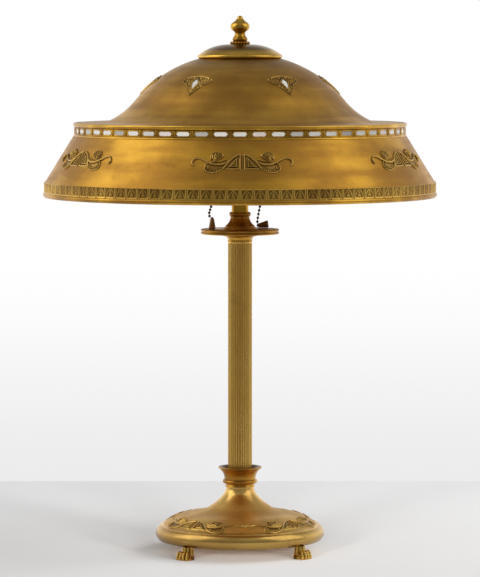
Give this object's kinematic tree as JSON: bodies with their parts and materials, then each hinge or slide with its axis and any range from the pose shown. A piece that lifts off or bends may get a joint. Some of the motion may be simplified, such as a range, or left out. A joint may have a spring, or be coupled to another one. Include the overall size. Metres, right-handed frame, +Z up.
{
  "type": "table lamp",
  "caption": "Table lamp with a metal dome shade inlaid with shell, on a fluted column and a bell-shaped base with paw feet, switched by bead pull chains.",
  "frame": {"origin": "on the lamp's axis, at the surface that the paw feet stand on", "axes": "+Z up along the column; -Y is the front, where one scroll casting faces; +X to the right"},
  "size_m": [0.446, 0.446, 0.61],
  "materials": {
    "gilt_bronze": "aged gilt, satin, brown in the hollows",
    "bright_gilt": "rubbed bright gilt",
    "dark_bronze": "dark brown bronze, satin",
    "relief_bronze": "aged relief, dark ground, rubbed edges",
    "shell": "mother-of-pearl, polished",
    "steel": "plain steel",
    "bushing_plastic": "black moulded",
    "chain_bronze": "dark oxidised",
    "porcelain": "white glaze",
    "liner_board": "pressed fibre",
    "bulb_glass": "frosted",
    "socket_brass": "spun brass, aged"
  },
  "bodies": {
    "stand": {"base_casting": "gilt_bronze", "base_collar": "gilt_bronze", "base_nut": "steel", "base_washer": "steel", "centre_rod": "steel", "cluster_body": "socket_brass", "column_capital": "dark_bronze", "column_tube": "gilt_bronze", "disc_neck": "dark_bronze", "foot_screws": "steel", "lead_bushing": "bushing_plastic", "left_centre_contact": "socket_brass", "left_chain_guide": "socket_brass", "left_screw_shell": "socket_brass", "left_socket_body": "porcelain", "left_socket_cap": "socket_brass", "left_socket_liner": "liner_board", "left_socket_shell": "socket_brass", "lock_nuts": "steel", "neck_collar": "dark_bronze", "paw_foot_1": "bright_gilt", "paw_foot_2": "bright_gilt", "paw_foot_3": "bright_gilt", "paw_foot_4": "bright_gilt", "right_centre_contact": "socket_brass", "right_chain_guide": "socket_brass", "right_screw_shell": "socket_brass", "right_socket_body": "porcelain", "right_socket_cap": "socket_brass", "right_socket_liner": "liner_board", "right_socket_shell": "socket_brass", "riser_rod": "steel", "shade_wheel": "steel", "socket_nipples": "steel", "stem_tube": "dark_bronze", "tray_disc": "dark_bronze"},
    "shade": {"heat_cap": "bright_gilt", "shade_dome": "gilt_bronze", "gallery_band": "gilt_bronze", "gallery_inlays": "shell", "shade_skirt": "gilt_bronze", "rim_band": "gilt_bronze", "rim_bead": "gilt_bronze", "scroll_mounts": "relief_bronze", "dome_mounts": "relief_bronze", "dome_inlays": "shell"},
    "finial_knob": {"finial": "bright_gilt", "finial_washer": "bright_gilt"},
    "left_switch": {"left_chain": "chain_bronze", "left_pull": "chain_bronze"},
    "right_switch": {"right_chain": "chain_bronze", "right_pull": "chain_bronze"},
    "left_bulb": {"left_bulb_base": "socket_brass", "left_bulb_glass": "bulb_glass"},
    "right_bulb": {"right_bulb_base": "socket_brass", "right_bulb_glass": "bulb_glass"}
  },
  "joints": [
    {"name": "shade_turn", "type": "hinge", "parent": "stand", "child": "shade", "pos_m": [0, 0, 0.5613], "axis": [0, 0, 1], "continuous": true},
    {"name": "finial_turn", "type": "hinge", "parent": "stand", "child": "finial_knob", "pos_m": [0, 0, 0.5806], "axis": [0, 0, 1], "continuous": true},
    {"name": "left_chain_pull", "type": "slide", "parent": "stand", "child": "left_switch", "axis": [0, -1, 0], "range_m": [0, 0.01], "stiffness_N_per_m": 1200},
    {"name": "right_chain_pull", "type": "slide", "parent": "stand", "child": "right_switch", "axis": [0, 1, 0], "range_m": [0, 0.01], "stiffness_N_per_m": 1200},
    {"name": "left_bulb_turn", "type": "hinge", "parent": "stand", "child": "left_bulb", "pos_m": [-0.06, 0, 0.445], "axis": [-1, 0, 0], "continuous": true},
    {"name": "right_bulb_turn", "type": "hinge", "parent": "stand", "child": "right_bulb", "pos_m": [0.06, 0, 0.445], "axis": [1, 0, 0], "continuous": true}
  ]
}
